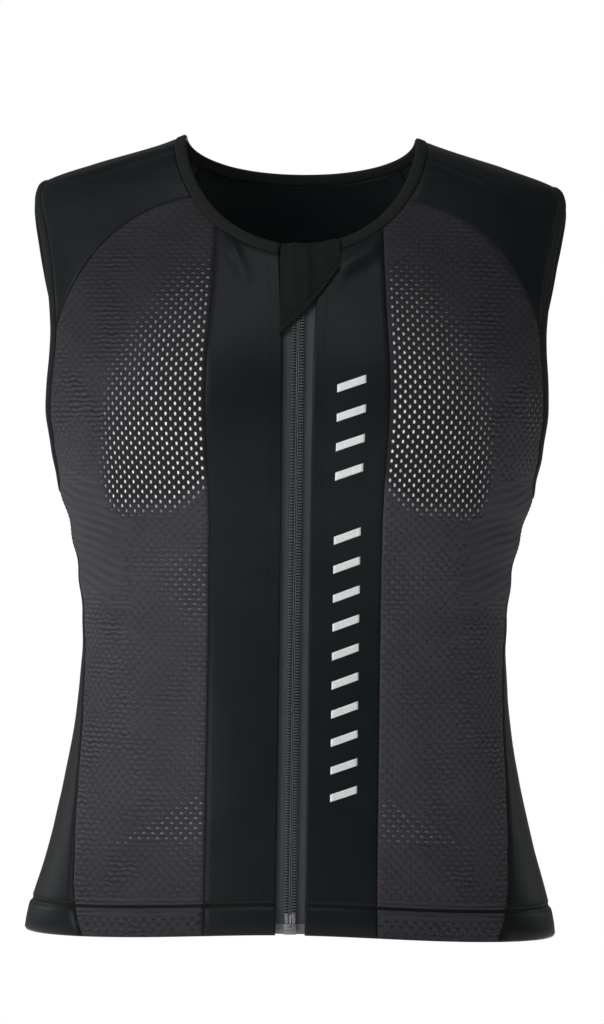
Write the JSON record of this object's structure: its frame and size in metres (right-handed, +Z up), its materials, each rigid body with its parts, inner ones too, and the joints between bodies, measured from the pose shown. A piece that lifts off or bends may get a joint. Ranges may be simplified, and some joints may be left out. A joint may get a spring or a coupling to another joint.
{
  "type": "equestrian back protector vest",
  "caption": "Sleeveless zip-fronted riding vest with perforated mesh fronts, stretch yokes and side panels, and a padded protector on its back.",
  "frame": {"origin": "midway between the two points where the neck edge crosses the shoulder ridges, where the shoulders carry the vest", "axes": "+X to the wearer's left, -Y to the front, +Z up"},
  "size_m": [0.3858, 0.2458, 0.5762],
  "materials": {
    "mesh": "matt perforated knit, charcoal",
    "stretch_cloth": "smooth stretch knit with a soft sheen, blue-black",
    "pad_cover": "smooth stretch knit over foam, black",
    "binding": "matt elastic binding, black",
    "zip_tape": "woven tape, dark grey",
    "zip_nylon": "moulded nylon, dark grey",
    "zip_metal": "grey die-cast metal"
  },
  "bodies": {
    "root": {"front_mesh_left": "mesh", "front_mesh_right": "mesh", "placket_left": "stretch_cloth", "placket_right": "stretch_cloth", "shoulder_yoke_left": "stretch_cloth", "shoulder_yoke_right": "stretch_cloth", "side_panel_left": "stretch_cloth", "side_panel_right": "stretch_cloth", "back_panel": "stretch_cloth", "back_protector": "pad_cover", "neck_binding": "binding", "zip_guard": "binding", "armhole_binding_left": "binding", "armhole_binding_right": "binding", "zip_tape_left": "zip_tape", "zip_tape_right": "zip_tape", "zip_row_left": "zip_nylon", "zip_row_right": "zip_nylon", "zip_box": "zip_metal", "zip_slider": "zip_metal"}
  },
  "joints": []
}
